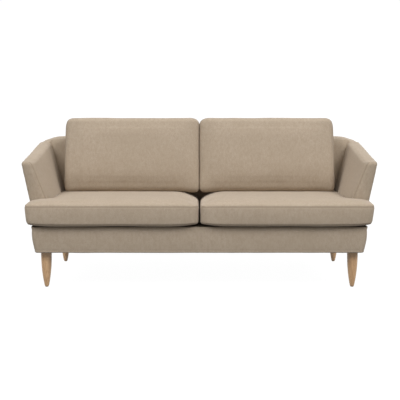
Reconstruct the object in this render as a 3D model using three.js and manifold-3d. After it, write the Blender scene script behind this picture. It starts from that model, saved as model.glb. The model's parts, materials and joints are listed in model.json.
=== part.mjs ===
// A low sofa on four turned legs: two seat cushions with ears in front of the arms, two reclined back
// cushions, and a timber, plywood and spring frame under a fitted cover.
// Millimetres, +Z up, origin on the floor at the middle of the sofa. The front faces -Y.
// Left and right are those of someone who stands in front of the sofa.
import * as THREE from "three";
import { mergeVertices } from "three/addons/utils/BufferGeometryUtils.js";
import Module from "manifold-3d";

const wasm = await Module();
wasm.setup();

// Clearance between neighbouring pieces.
const GAP = 0.3;

// Legs.
const LEG_SPAN = 1580;
const LEG_Y = { front: -340, rear: 270 };
const LEG_TOP_RADIUS = 27.5;
const LEG_FOOT_RADIUS = 10.5;
const LEG_TAPER_POWER = 2.25;
const LEG_FOOT_ROUND = 1.5;
const LEG_RINGS = 9;
const LEG_SIDES = 16;
const GLIDE_RADIUS = 8.5;
const GLIDE_HEIGHT = 3;
const GLIDE_ROUND = 1;
const BOLT_RADIUS = 4;
const BOLT_SPAN = { bottom: 150, top: 230 };
const BOLT_SIDES = 8;

// Outer shell: leaning sides and rear, plan corners that widen towards the top.
const BASE_BOTTOM = 187;
const DECK_TOP = 320;
const BASE_FRONT = -395;
const SIDE_LEAN = 0.2056;
const SIDE_AT_FLOOR = 802;
const REAR_LEAN = 0.21;
const BACK_TOP = 730;
const BACK_REAR = 420;
const CORNER_RADIUS = { bottom: 60, top: 140 };
const INNER_CORNER_RADIUS = 12;
const CORNER_STEPS = 3;
const SHELL_SPLIT_X = 690;

// Arms and the inner faces of the shell.
const ARM_FRONT = -270;
const ARM_TOP = { front: 640, rear: 703 };
const ARM_INNER = { z: 430, frontX: 796.2, frontLean: 0.39, rearX: 798, rearLean: 0.3 };
const BACK_INNER = { z: 430, y: 202.7, lean: Math.tan(THREE.MathUtils.degToRad(15)) };
const PAD_BOTTOM = 325;
const TOP_EDGE_RADIUS = 14;
const EDGE_STEPS = 3;
const COVER = 8;

// Apron.
const APRON_CORNER_RADIUS = 20;

// Frame timber and plywood.
const BOARD = 18;
const RAIL_HALF_LENGTH = 812;
const REAR_RAIL_HALF_LENGTH = 778;
const RAIL_TOP = 304;
const CENTRE_RAIL = { width: 30, top: 290 };
const BLOCK_SIDE = 80;
const BLOCK_CUT = 30;
const BLOCK_TOP = 238;
const PANEL = { front: -374, armFront: -256, rear: 268, lowTop: 310.5, topCover: 30 };
const POST = { xs: [-740, 0, 740], width: 45, depth: 36, top: 681 };
const TOP_RAIL = { halfLength: 780, top: 706 };
const STRAP = { heights: [455, 545, 635], width: 50, thickness: 2, halfLength: 765 };
const BACK_CAVITY = { depth: 41, halfLength: 785 };

// Seat suspension and sheets.
const SPRINGS_PER_SIDE = 4;
const SPRING_PITCH = 200;
const SPRING_FIRST_X = 100;
const SPRING_WIRE_RADIUS = 2;
const SPRING_HALF_WIDTH = 24;
const SPRING_BENDS = 16;
const CLIP_STRIP = { width: 7, thickness: 2, halfLength: 770 };
const DECK = { thickness: 9, frontHalf: 848, rearHalf: 800, front: -386, step: -272, rear: 195 };
const DUST_COVER = { thickness: 0.8, inset: 10 };

// Cushions.
const COVER_CLOTH = 3;
const SEAT = {
  bottom: DECK_TOP + 0.5, top: 438, front: -420, earRear: -272.5, rear: 192,
  inner: 4.5, outer: 794, earOuter: 882, earLean: 0.12, corner: 34, earBack: 18, edge: 14,
};
const RECLINE = THREE.MathUtils.degToRad(15);
const BACK = {
  inner: 3, outer: 766, height: 390, depth: 145, rearY: 196, corner: 42, edge: 26,
};
const ZIP = { start: 140, length: 500, width: 8, thickness: 2.4, seatZ: 380, backHeight: 60 };
const SLIDER = { length: 14, width: 10, thickness: 5 };

const FINISHES = {
  upholstery: { color: 0xb09e88, roughness: 0.95, metalness: 0 },
  oak: { color: 0xaa8a6b, roughness: 0.5, metalness: 0 },
  timber: { color: 0xc2a679, roughness: 0.8, metalness: 0 },
  plywood: { color: 0xcdb48a, roughness: 0.8, metalness: 0 },
  steel: { color: 0x8b8d90, roughness: 0.35, metalness: 1 },
  glide: { color: 0xa98f70, roughness: 0.6, metalness: 0 },
  lining: { color: 0x3a3836, roughness: 1, metalness: 0 },
  felt: { color: 0x8a7d6d, roughness: 1, metalness: 0 },
  foam: { color: 0xe8e0c8, roughness: 1, metalness: 0 },
  webbing: { color: 0x2f2d2b, roughness: 0.9, metalness: 0 },
  zip: { color: 0x8f7f6c, roughness: 0.6, metalness: 0 },
};

const lerp = THREE.MathUtils.lerp;
const sideX = (z) => SIDE_AT_FLOOR + SIDE_LEAN * z;
const rearY = (z) => BACK_REAR - REAR_LEAN * (BACK_TOP - z);
const backInnerY = (z) => BACK_INNER.y + BACK_INNER.lean * Math.max(z - BACK_INNER.z, 0);
const armTopAt = (y) => lerp(ARM_TOP.front, ARM_TOP.rear, (y - ARM_FRONT) / (PANEL.rear - ARM_FRONT));

function piece(name, finish, geometry) {
  const mesh = new THREE.Mesh(geometry, new THREE.MeshStandardMaterial(FINISHES[finish]));
  mesh.name = name;
  return mesh;
}

// A box between two corners, in the frame of the group that holds it.
function box(x0, x1, y0, y1, z0, z1) {
  const geometry = new THREE.BoxGeometry(x1 - x0, y1 - y0, z1 - z0);
  return geometry.translate((x0 + x1) / 2, (y0 + y1) / 2, (z0 + z1) / 2);
}

// Moves every vertex by a function of its position.
function reshape(geometry, move) {
  const positions = geometry.getAttribute("position");
  const point = new THREE.Vector3();
  for (let i = 0; i < positions.count; i++) {
    move(point.fromBufferAttribute(positions, i));
    positions.setXYZ(i, point.x, point.y, point.z);
  }
  return geometry;
}

// A closed outline through the given corners, each rounded by its own radius.
function roundedShape(corners) {
  const shape = new THREE.Shape();
  corners.forEach(([x, y, radius = 0], i) => {
    const corner = new THREE.Vector2(x, y);
    const before = new THREE.Vector2(...corners.at(i - 1)).sub(corner).setLength(radius).add(corner);
    const after = new THREE.Vector2(...corners[(i + 1) % corners.length]);
    after.sub(corner).setLength(radius).add(corner);
    if (i === 0) shape.moveTo(before.x, before.y);
    else shape.lineTo(before.x, before.y);
    if (radius) shape.quadraticCurveTo(x, y, after.x, after.y);
  });
  return shape;
}

function extrudeUp(shape, z0, z1, curveSegments = 4) {
  const settings = { depth: z1 - z0, bevelEnabled: false, curveSegments };
  return new THREE.ExtrudeGeometry(shape, settings).translate(0, 0, z0);
}

// An outline in Y and Z, extruded along X.
function extrudeAcross(corners, x0, x1) {
  const shape = new THREE.Shape(corners.map(([y, z]) => new THREE.Vector2(y, z)));
  const geometry = new THREE.ExtrudeGeometry(shape, { depth: x1 - x0, bevelEnabled: false });
  return reshape(geometry, (p) => p.set(x0 + p.z, p.x, p.y));
}

// A profile of radii and heights turned about the vertical axis.
function turned(profile, sides) {
  const points = profile.map(([radius, z]) => new THREE.Vector2(radius, z));
  return new THREE.LatheGeometry(points, sides).rotateX(Math.PI / 2);
}

function toSolid(geometry) {
  const bare = geometry.clone();
  bare.deleteAttribute("normal");
  bare.deleteAttribute("uv");
  const merged = mergeVertices(bare, 1e-3);
  return new wasm.Manifold(new wasm.Mesh({
    numProp: 3,
    vertProperties: new Float32Array(merged.getAttribute("position").array),
    triVerts: new Uint32Array(merged.index.array),
  }));
}

function toGeometry(solid) {
  const mesh = solid.getMesh();
  const geometry = new THREE.BufferGeometry();
  geometry.setAttribute("position", new THREE.BufferAttribute(mesh.vertProperties, 3));
  geometry.setIndex(new THREE.BufferAttribute(mesh.triVerts, 1));
  return geometry;
}

function cut(geometry, ...tools) {
  return toGeometry(tools.reduce((solid, tool) => solid.subtract(toSolid(tool)), toSolid(geometry)));
}

// A closed skin over rings of equal length. The rings run so that the faces point out.
function loft(rings) {
  const count = rings[0].length;
  const triangles = [];
  for (let r = 0; r + 1 < rings.length; r++) {
    for (let i = 0; i < count; i++) {
      const a = r * count + i;
      const b = r * count + ((i + 1) % count);
      triangles.push(a, a + count, b, b, a + count, b + count);
    }
  }
  const last = (rings.length - 1) * count;
  capTriangles(rings[0]).forEach(([a, b, c]) => triangles.push(a, b, c));
  capTriangles(rings.at(-1)).forEach(([a, b, c]) => triangles.push(last + c, last + b, last + a));
  const geometry = new THREE.BufferGeometry().setFromPoints(rings.flat());
  geometry.setIndex(triangles);
  return geometry;
}

// Triangles over a ring that stands upright in a plane of one X or one Y, running the same way round.
function capTriangles(ring) {
  const flat = ring.map((p) => new THREE.Vector2(p.x + p.y, p.z));
  const reverse = THREE.ShapeUtils.area(flat) < 0;
  const triangles = THREE.ShapeUtils.triangulateShape(reverse ? [...flat].reverse() : flat, []);
  if (!reverse) return triangles;
  return triangles.map((t) => t.map((i) => flat.length - 1 - i).reverse());
}

// One cross-section of the padded shell, from the two plan lines that it stands between.
function shellRing(outer, inner, top) {
  const inward = (z, distance) => {
    const from = outer(z);
    return from.lerp(inner(z), distance / from.distanceTo(inner(z)));
  };
  const outward = (z, distance) => {
    const from = inner(z);
    return from.lerp(outer(z), distance / from.distanceTo(outer(z)));
  };
  const at = (plan, z) => new THREE.Vector3(plan.x, plan.y, z);
  const ring = [at(outer(BASE_BOTTOM), BASE_BOTTOM)];
  const edge = (turn) => {
    const z = top - TOP_EDGE_RADIUS * (1 - Math.sin(turn));
    return [z, TOP_EDGE_RADIUS * (1 - Math.cos(turn))];
  };
  for (let i = 0; i <= EDGE_STEPS; i++) {
    const [z, distance] = edge((i / EDGE_STEPS) * Math.PI / 2);
    ring.push(at(inward(z, distance), z));
  }
  for (let i = EDGE_STEPS; i >= 0; i--) {
    const [z, distance] = edge((i / EDGE_STEPS) * Math.PI / 2);
    ring.push(at(outward(z, distance), z));
  }
  ring.push(at(inner(ARM_INNER.z), ARM_INNER.z));
  ring.push(at(inner(PAD_BOTTOM), PAD_BOTTOM));
  ring.push(at(inward(PAD_BOTTOM, COVER), PAD_BOTTOM));
  ring.push(at(inward(BASE_BOTTOM, COVER), BASE_BOTTOM));
  return ring;
}

function armInnerX(z, lean, x) {
  return x + lean * Math.max(z - ARM_INNER.z, 0);
}

function armFrontRing() {
  const outer = (z) => new THREE.Vector2(sideX(z), ARM_FRONT);
  const inner = (z) => new THREE.Vector2(armInnerX(z, ARM_INNER.frontLean, ARM_INNER.frontX), ARM_FRONT);
  return shellRing(outer, inner, ARM_TOP.front);
}

// The shell's cross-section where its plan has turned by this angle, from the arm to the back.
function cornerRing(turn) {
  const onArc = (x, y, radius) => new THREE.Vector2(
    x - radius * (1 - Math.cos(turn)), y - radius * (1 - Math.sin(turn)));
  const outer = (z) => {
    const rise = (z - BASE_BOTTOM) / (BACK_TOP - BASE_BOTTOM);
    return onArc(sideX(z), rearY(z), lerp(CORNER_RADIUS.bottom, CORNER_RADIUS.top, rise));
  };
  const inner = (z) => onArc(
    armInnerX(z, ARM_INNER.rearLean, ARM_INNER.rearX), backInnerY(z), INNER_CORNER_RADIUS);
  return shellRing(outer, inner, lerp(ARM_TOP.rear, BACK_TOP, Math.sin(turn) ** 2));
}

function backRing(x) {
  const outer = (z) => new THREE.Vector2(x, rearY(z));
  const inner = (z) => new THREE.Vector2(x, backInnerY(z));
  return shellRing(outer, inner, BACK_TOP);
}

// The space inside the back for its posts, rail and straps, open below.
function backCavity(halfLength) {
  const below = BASE_BOTTOM - COVER;
  const top = TOP_RAIL.top + GAP;
  return backBoard(below, top, GAP / 2, BACK_CAVITY.depth, -halfLength, halfLength);
}

// The arm's plywood panel, which is also the side of the base, grown on all its faces by a margin.
function armPanel(margin, bottom) {
  const { front, armFront, rear, lowTop, topCover } = PANEL;
  const corners = [[front - margin, bottom], [rear + margin, bottom],
    [rear + margin, armTopAt(rear) - topCover + margin],
    [armFront - margin, armTopAt(armFront) - topCover + margin],
    [armFront - margin, lowTop + margin], [front - margin, lowTop + margin]];
  const outside = COVER + 1.5 * GAP - margin;
  const geometry = extrudeAcross(corners, -outside - BOARD - 2 * margin, -outside);
  return reshape(geometry, (p) => { p.x += sideX(p.z); });
}

function armCover() {
  const rings = [armFrontRing()];
  for (let i = 0; i <= CORNER_STEPS; i++) rings.push(cornerRing((i / CORNER_STEPS) * Math.PI / 2));
  rings.push(backRing(SHELL_SPLIT_X));
  return cut(loft(rings), armPanel(GAP, BASE_BOTTOM - COVER), backCavity(BACK_CAVITY.halfLength));
}

function backCover() {
  const half = SHELL_SPLIT_X - GAP;
  return cut(loft([backRing(half), backRing(-half)]), backCavity(BACK_CAVITY.halfLength));
}

// The strip of cover round the front of the base, from arm to arm.
function apronCover() {
  const half = sideX(BASE_BOTTOM);
  const end = ARM_FRONT - GAP;
  const inside = APRON_CORNER_RADIUS - COVER;
  const shape = roundedShape([
    [-half, end], [-half, BASE_FRONT, APRON_CORNER_RADIUS], [half, BASE_FRONT, APRON_CORNER_RADIUS],
    [half, end], [half - COVER, end], [half - COVER, BASE_FRONT + COVER, inside],
    [-half + COVER, BASE_FRONT + COVER, inside], [-half + COVER, end]]);
  const geometry = extrudeUp(shape, BASE_BOTTOM, DECK_TOP - GAP);
  return reshape(geometry, (p) => { p.x += Math.sign(p.x) * SIDE_LEAN * (p.z - BASE_BOTTOM); });
}

function leg() {
  const bottom = GLIDE_HEIGHT + GAP;
  const top = BASE_BOTTOM - GAP;
  const profile = [[0, bottom], [LEG_FOOT_RADIUS - LEG_FOOT_ROUND, bottom]];
  for (let i = 0; i <= LEG_RINGS; i++) {
    const rise = i / LEG_RINGS;
    const radius = lerp(LEG_TOP_RADIUS, LEG_FOOT_RADIUS, (1 - rise) ** LEG_TAPER_POWER);
    profile.push([radius, lerp(bottom + LEG_FOOT_ROUND, top, rise)]);
  }
  const bore = BOLT_RADIUS + GAP;
  const boreEnd = BOLT_SPAN.bottom - GAP;
  profile.push([bore, top], [bore, boreEnd], [0, boreEnd]);
  return turned(profile, LEG_SIDES);
}

function glide() {
  const profile = [[0, 0], [GLIDE_RADIUS - GLIDE_ROUND, 0], [GLIDE_RADIUS, GLIDE_ROUND],
    [GLIDE_RADIUS, GLIDE_HEIGHT], [0, GLIDE_HEIGHT]];
  return turned(profile, LEG_SIDES);
}

function hangerBolt() {
  const profile = [[0, BOLT_SPAN.bottom], [BOLT_RADIUS, BOLT_SPAN.bottom], [BOLT_RADIUS, BOLT_SPAN.top],
    [0, BOLT_SPAN.top]];
  return turned(profile, BOLT_SIDES);
}

function boltHole(x, y) {
  return new THREE.Path().absarc(x, y, BOLT_RADIUS + 2 * GAP, 0, 2 * Math.PI, true);
}

const FRAME_BOTTOM = BASE_BOTTOM + DUST_COVER.thickness + GAP;
const FRONT_RAIL_Y = BASE_FRONT + COVER + GAP;
const REAR_RAIL_Y = rearY(FRAME_BOTTOM) - COVER - 2 - BOARD;
const CLIP_Y = {
  front: FRONT_RAIL_Y + BOARD - CLIP_STRIP.width / 2,
  rear: REAR_RAIL_Y + CLIP_STRIP.width / 2,
};

// A block in the angle between a rail and a side panel, drilled for the leg's bolt.
function cornerBlock(end) {
  const facing = end === "front" ? 1 : -1;
  const railFace = end === "front" ? FRONT_RAIL_Y + BOARD + GAP : REAR_RAIL_Y - GAP;
  const far = railFace + facing * BLOCK_SIDE;
  const near = RAIL_HALF_LENGTH - BLOCK_SIDE;
  const corners = [[RAIL_HALF_LENGTH, railFace], [RAIL_HALF_LENGTH, far], [RAIL_HALF_LENGTH - BLOCK_CUT, far],
    [near, railFace + facing * BLOCK_CUT], [near, railFace]];
  if (facing < 0) corners.reverse();
  const shape = new THREE.Shape(corners.map(([x, y]) => new THREE.Vector2(x, y)));
  shape.holes.push(boltHole(LEG_SPAN / 2, LEG_Y[end]));
  return extrudeUp(shape, FRAME_BOTTOM, BLOCK_TOP);
}

// A zigzag wire from the front rail to the rear rail, lying on the two clip strips.
function seatSpring() {
  const z = RAIL_TOP + GAP + CLIP_STRIP.thickness + GAP + SPRING_WIRE_RADIUS;
  const path = new THREE.CurvePath();
  let from = new THREE.Vector3(0, CLIP_Y.front, z);
  for (let i = 1; i <= SPRING_BENDS; i++) {
    const across = i === SPRING_BENDS ? 0 : SPRING_HALF_WIDTH * (i % 2 ? 1 : -1);
    const to = new THREE.Vector3(across, lerp(CLIP_Y.front, CLIP_Y.rear, i / SPRING_BENDS), z);
    path.add(new THREE.LineCurve3(from, to));
    from = to;
  }
  const section = new THREE.Shape().absarc(0, 0, SPRING_WIRE_RADIUS, 0, 2 * Math.PI);
  const settings = { steps: SPRING_BENDS * 2, curveSegments: 3, extrudePath: path, bevelEnabled: false };
  return new THREE.ExtrudeGeometry(section, settings);
}

function deckPad() {
  const { thickness, frontHalf, rearHalf, front, step, rear } = DECK;
  const shape = roundedShape([[-frontHalf, front], [frontHalf, front], [frontHalf, step], [rearHalf, step],
    [rearHalf, rear], [-rearHalf, rear], [-rearHalf, step], [-frontHalf, step]]);
  return extrudeUp(shape, DECK_TOP - thickness, DECK_TOP);
}

function dustCover() {
  const half = sideX(BASE_BOTTOM) - DUST_COVER.inset;
  const front = BASE_FRONT + DUST_COVER.inset;
  const rear = rearY(BASE_BOTTOM) - DUST_COVER.inset;
  const shape = roundedShape([[-half, front, APRON_CORNER_RADIUS], [half, front, APRON_CORNER_RADIUS],
    [half, rear, CORNER_RADIUS.bottom], [-half, rear, CORNER_RADIUS.bottom]]);
  for (const side of [-1, 1]) {
    for (const y of Object.values(LEG_Y)) shape.holes.push(boltHole(side * LEG_SPAN / 2, y));
  }
  return extrudeUp(shape, BASE_BOTTOM, BASE_BOTTOM + DUST_COVER.thickness);
}

// A leaning board inside the back, between two heights and two distances from the cover's inside.
function backBoard(bottom, top, near, far, x0, x1) {
  const y = (z, distance) => rearY(z) - COVER - distance;
  const corners = [[y(bottom, far), bottom], [y(bottom, near), bottom],
    [y(top, near), top], [y(top, far), top]];
  return extrudeAcross(corners, x0, x1);
}

// An outline extruded upwards, with its top and bottom edges rounded.
function pad(shape, z0, z1, edge) {
  const settings = {
    depth: z1 - z0 - 2 * edge, curveSegments: 3,
    bevelThickness: edge, bevelSize: edge, bevelOffset: -edge, bevelSegments: 2,
  };
  return new THREE.ExtrudeGeometry(shape, settings).translate(0, 0, z0 + edge);
}

// The seat cushion's body, drawn in from its outside by an inset. Its ear stands in front of the arm.
function seatBody(inset) {
  const { front, earRear, rear, inner, outer, earOuter, earLean } = SEAT;
  const { corner, earBack, edge, bottom, top } = SEAT;
  const shape = roundedShape([
    [inner + inset, front + inset, corner], [earOuter - inset, front + inset, corner],
    [earOuter - inset, earRear - inset, earBack], [outer - inset, earRear - inset],
    [outer - inset, rear - inset, corner], [inner + inset, rear - inset, corner]]);
  const body = pad(shape, bottom + inset, top - inset, edge - inset);
  return reshape(body, (p) => { p.x += p.x > outer ? earLean * (p.z - bottom) : 0; });
}

// The back cushion's body in its own reclined frame: X along the sofa, Y up the recline, Z towards the
// sitter. Its lower edge is drawn down at the front, so that it lies flat on the seat.
function backBody(inset) {
  const { inner, outer, height, depth, corner, edge } = BACK;
  const shape = roundedShape([
    [inner + inset, inset, corner], [outer - inset, inset, corner],
    [outer - inset, height - inset, corner], [inner + inset, height - inset, corner]]);
  const body = pad(shape, inset, depth - inset, edge - inset);
  return reshape(body, (p) => { p.y -= (1 - p.y / height) * p.z * Math.tan(RECLINE); });
}

// Cover, filling, zip and slider. The zip's group stands on the cover's rear face, with +Z out of it, and
// the zip runs along X in a slot of the cover.
function cushionPieces(name, fillingName, body, zip) {
  const { start, length, width, thickness } = ZIP;
  const end = start + length;
  const slot = box(start - GAP, end + GAP, -width / 2 - GAP, width / 2 + GAP, -2 * COVER_CLOTH, COVER_CLOTH);
  const chain = box(start, end, -width / 2, width / 2, -GAP - thickness, -GAP);
  const slider = box(
    start, start + SLIDER.length, -SLIDER.width / 2, SLIDER.width / 2, GAP, GAP + SLIDER.thickness);
  zip.updateMatrix();
  zip.add(piece(`${name}_zip_chain`, "zip", chain), piece(`${name}_zip_slider`, "steel", slider));
  return [
    piece(`${name}_cover`, "upholstery", cut(body(0), body(COVER_CLOTH), slot.applyMatrix4(zip.matrix))),
    piece(fillingName, "foam", body(COVER_CLOTH + GAP)),
    zip,
  ];
}

function seatCushion(hand) {
  const zip = new THREE.Group();
  zip.position.set(0, SEAT.rear, ZIP.seatZ);
  zip.rotation.x = -Math.PI / 2;
  return cushionPieces(`seat_cushion_${hand}`, `seat_cushion_core_${hand}`, seatBody, zip);
}

function backCushion(hand) {
  const zip = new THREE.Group();
  zip.position.y = ZIP.backHeight;
  zip.rotation.x = Math.PI;
  const reclined = new THREE.Group();
  reclined.position.set(0, BACK.rearY, SEAT.top + GAP);
  reclined.rotation.x = Math.PI / 2 - RECLINE;
  reclined.add(...cushionPieces(`back_cushion_${hand}`, `back_cushion_filling_${hand}`, backBody, zip));
  return reclined;
}

// One half of the sofa, drawn for the right and mirrored for the left.
function half(side) {
  const hand = side < 0 ? "left" : "right";
  const group = new THREE.Group();
  group.scale.x = side;
  for (const end of ["front", "rear"]) {
    const foot = new THREE.Group();
    foot.position.set(LEG_SPAN / 2, LEG_Y[end], 0);
    foot.add(piece(`leg_${end}_${hand}`, "oak", leg()));
    foot.add(piece(`glide_${end}_${hand}`, "glide", glide()));
    foot.add(piece(`hanger_bolt_${end}_${hand}`, "steel", hangerBolt()));
    group.add(foot, piece(`corner_block_${end}_${hand}`, "timber", cornerBlock(end)));
  }
  for (let i = 0; i < SPRINGS_PER_SIDE; i++) {
    const spring = piece(`seat_spring_${hand}_${i + 1}`, "steel", seatSpring());
    spring.position.x = SPRING_FIRST_X + i * SPRING_PITCH;
    group.add(spring);
  }
  group.add(piece(`arm_frame_${hand}`, "plywood", armPanel(0, FRAME_BOTTOM)));
  group.add(piece(`arm_cover_${hand}`, "upholstery", armCover()));
  group.add(...seatCushion(hand), backCushion(hand));
  return group;
}

function railsAndSheets() {
  const group = new THREE.Group();
  group.add(
    piece("front_rail", "timber",
      box(-RAIL_HALF_LENGTH, RAIL_HALF_LENGTH, FRONT_RAIL_Y, FRONT_RAIL_Y + BOARD, FRAME_BOTTOM, RAIL_TOP)),
    piece("rear_rail", "timber",
      box(-REAR_RAIL_HALF_LENGTH, REAR_RAIL_HALF_LENGTH, REAR_RAIL_Y, REAR_RAIL_Y + BOARD, FRAME_BOTTOM,
        RAIL_TOP)),
    piece("centre_rail", "timber",
      box(-CENTRE_RAIL.width / 2, CENTRE_RAIL.width / 2, FRONT_RAIL_Y + BOARD + GAP, REAR_RAIL_Y - GAP,
        FRAME_BOTTOM, CENTRE_RAIL.top)),
    piece("deck_pad", "felt", deckPad()),
    piece("dust_cover", "lining", dustCover()),
    piece("apron_cover", "upholstery", apronCover()),
  );
  for (const [end, y] of Object.entries(CLIP_Y)) {
    const z = RAIL_TOP + GAP;
    group.add(piece(`spring_clip_strip_${end}`, "steel",
      box(-CLIP_STRIP.halfLength, CLIP_STRIP.halfLength, y - CLIP_STRIP.width / 2, y + CLIP_STRIP.width / 2,
        z, z + CLIP_STRIP.thickness)));
  }
  return group;
}

function backFrame() {
  const group = new THREE.Group();
  const near = 1.5 * GAP;
  const far = near + POST.depth;
  POST.xs.forEach((x, i) => {
    const board = backBoard(RAIL_TOP + GAP, POST.top, near, far, x - POST.width / 2, x + POST.width / 2);
    group.add(piece(`back_post_${["left", "centre", "right"][i]}`, "timber", board));
  });
  group.add(piece("back_top_rail", "timber",
    backBoard(POST.top + GAP, TOP_RAIL.top, near, far, -TOP_RAIL.halfLength, TOP_RAIL.halfLength)));
  STRAP.heights.forEach((z, i) => {
    const strap = backBoard(z - STRAP.width / 2, z + STRAP.width / 2, far + GAP, far + GAP + STRAP.thickness,
      -STRAP.halfLength, STRAP.halfLength);
    group.add(piece(`back_strap_${i + 1}`, "webbing", strap));
  });
  group.add(piece("back_cover", "upholstery", backCover()));
  return group;
}

const sofa = new THREE.Group();
sofa.add(railsAndSheets(), backFrame(), half(-1), half(1));

export default sofa;
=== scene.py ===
import json
import math

import bmesh
import bpy
import numpy as np
from mathutils import Matrix, Vector, noise
from mathutils.bvhtree import BVHTree


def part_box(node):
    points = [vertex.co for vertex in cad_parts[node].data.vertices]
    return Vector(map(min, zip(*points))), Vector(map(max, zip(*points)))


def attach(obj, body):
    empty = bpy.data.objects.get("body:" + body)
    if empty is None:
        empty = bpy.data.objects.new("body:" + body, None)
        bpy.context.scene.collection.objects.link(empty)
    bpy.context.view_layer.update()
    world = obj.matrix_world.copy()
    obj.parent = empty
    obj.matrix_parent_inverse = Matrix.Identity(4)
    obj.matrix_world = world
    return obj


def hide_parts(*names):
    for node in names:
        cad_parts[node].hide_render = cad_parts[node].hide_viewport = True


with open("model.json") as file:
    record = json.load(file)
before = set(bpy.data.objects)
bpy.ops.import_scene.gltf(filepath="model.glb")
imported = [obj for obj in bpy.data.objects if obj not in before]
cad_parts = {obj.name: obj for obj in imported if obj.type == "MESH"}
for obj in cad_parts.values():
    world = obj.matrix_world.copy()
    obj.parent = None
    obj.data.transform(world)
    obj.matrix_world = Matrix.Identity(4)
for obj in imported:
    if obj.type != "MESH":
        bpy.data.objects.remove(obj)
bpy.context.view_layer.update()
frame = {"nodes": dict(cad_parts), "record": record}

HANDS = {"left": -1, "right": 1}

# The shell's lines, in metres. The outer side and rear lean out with height, and so do the inner faces of
# the arms and the back from seat height up.
BASE_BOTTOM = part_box("apron_cover")[0].z
BASE_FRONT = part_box("apron_cover")[0].y
APRON_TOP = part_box("apron_cover")[1].z
SIDE_AT_FLOOR, SIDE_LEAN = 0.802, 0.2056
BACK_REAR, BACK_TOP, REAR_LEAN = 0.420, 0.730, 0.21
CORNER_LOW, CORNER_HIGH = 0.060, 0.140
INNER_CORNER = 0.012
INNER_FROM = 0.430
PAD_BOTTOM = 0.325
ARM_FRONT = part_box("arm_cover_right")[0].y
ARM_TOP_FRONT, ARM_TOP_REAR = 0.641, 0.707
ARM_TOP_END = 0.278
ARM_INNER_FRONT, ARM_INNER_FRONT_LEAN = 0.7962, 0.39
ARM_INNER_REAR, ARM_INNER_REAR_LEAN = 0.783, 0.325
BACK_INNER, BACK_INNER_LEAN = 0.2027, math.tan(math.radians(15))
SHELL_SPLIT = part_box("back_cover")[1].x
TOP_EDGE = 0.011
WALL = 0.020
SKIN = 0.002
OUTSIDE_SEAM_DROP = 0.024
FRONT_SEAM = 0.012
APRON_CORNER = 0.020
COVER = 0.008

DECK_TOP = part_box("deck_pad")[1].z
SEAT_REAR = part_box("seat_cushion_right_cover")[1].y
RECLINE = math.radians(15)
BACK_FOOT = Vector((0, 0.196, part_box("back_cushion_right_cover")[0].z))
BACK_DEPTH, BACK_HEIGHT = 0.145, 0.390
CLEAR = 0.0006
TOUCH = 0.0002


# ---------------------------------------------------------------- meshes

def new_mesh(name, vertices, faces):
    mesh = bpy.data.meshes.new(name)
    mesh.from_pydata([tuple(v) for v in vertices], [], [tuple(f) for f in faces])
    mesh.update()
    return mesh


def show(mesh, name, finish, body):
    """The mesh as a smooth piece in that material, riding on that body."""
    mesh.materials.clear()
    mesh.materials.append(finish)
    mesh.polygons.foreach_set("use_smooth", [True] * len(mesh.polygons))
    mesh.update()
    obj = bpy.data.objects.new(name, mesh)
    bpy.context.collection.objects.link(obj)
    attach(obj, body)
    return obj


def coordinates(mesh):
    co = np.empty(len(mesh.vertices) * 3)
    mesh.vertices.foreach_get("co", co)
    return co.reshape(-1, 3)


def set_coordinates(mesh, co):
    mesh.vertices.foreach_set("co", np.asarray(co, float).ravel())
    mesh.update()


def normals(mesh):
    out = np.empty(len(mesh.vertices) * 3)
    mesh.vertex_normals.foreach_get("vector", out)
    return out.reshape(-1, 3)


def evaluated_mesh(obj):
    graph = bpy.context.evaluated_depsgraph_get()
    return bpy.data.meshes.new_from_object(obj.evaluated_get(graph))


def with_modifier(mesh, kind, **settings):
    """The mesh after one modifier."""
    holder = bpy.data.objects.new("holder", mesh)
    bpy.context.collection.objects.link(holder)
    modifier = holder.modifiers.new(kind, kind)
    for key, value in settings.items():
        setattr(modifier, key, value)
    result = evaluated_mesh(holder)
    bpy.data.objects.remove(holder)
    return result


def loft(name, rings, closed_ends=True):
    """A skin of quads over rings of equal length, closed by one face at each end."""
    count = len(rings[0])
    faces = []
    for r in range(len(rings) - 1):
        for i in range(count):
            j = (i + 1) % count
            faces.append((r * count + i, r * count + j, (r + 1) * count + j, (r + 1) * count + i))
    if closed_ends:
        last = (len(rings) - 1) * count
        faces.append(tuple(range(count))[::-1])
        faces.append(tuple(last + i for i in range(count)))
    return new_mesh(name, [p for ring in rings for p in ring], faces)


def turned(name, profile, sides):
    """A profile of (radius, height), from axis to axis, turned about the vertical axis."""
    rings = [[(r * math.cos(a), r * math.sin(a), z)
              for a in np.linspace(0, 2 * math.pi, sides, endpoint=False)]
             for r, z in profile[1:-1]]
    mesh = loft(name, rings, closed_ends=False)
    vertices = [tuple(v.co) for v in mesh.vertices] + [(0, 0, profile[0][1]), (0, 0, profile[-1][1])]
    faces = [tuple(p.vertices) for p in mesh.polygons]
    low, high, last = len(vertices) - 2, len(vertices) - 1, (len(rings) - 1) * sides
    for i in range(sides):
        j = (i + 1) % sides
        faces.append((low, j, i))
        faces.append((high, last + i, last + j))
    return new_mesh(name, vertices, faces)


# ---------------------------------------------------------------- soft goods

def calmed(mesh, moved, held, rounds):
    """Movements of the vertices, each drawn towards its neighbours' that many times; the held ones stay."""
    ends = np.empty(len(mesh.edges) * 2, dtype=np.int64)
    mesh.edges.foreach_get("vertices", ends)
    tail, head = np.concatenate([ends[::2], ends[1::2]]), np.concatenate([ends[1::2], ends[::2]])
    count = len(mesh.vertices)
    around = np.maximum(np.bincount(tail, minlength=count), 1)
    for _ in range(rounds):
        sums = [np.bincount(tail, moved[head, axis], minlength=count) for axis in range(3)]
        moved = 0.5 * moved + 0.5 * np.stack(sums, axis=1) / around[:, None]
        moved[held] = 0
    return moved


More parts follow.
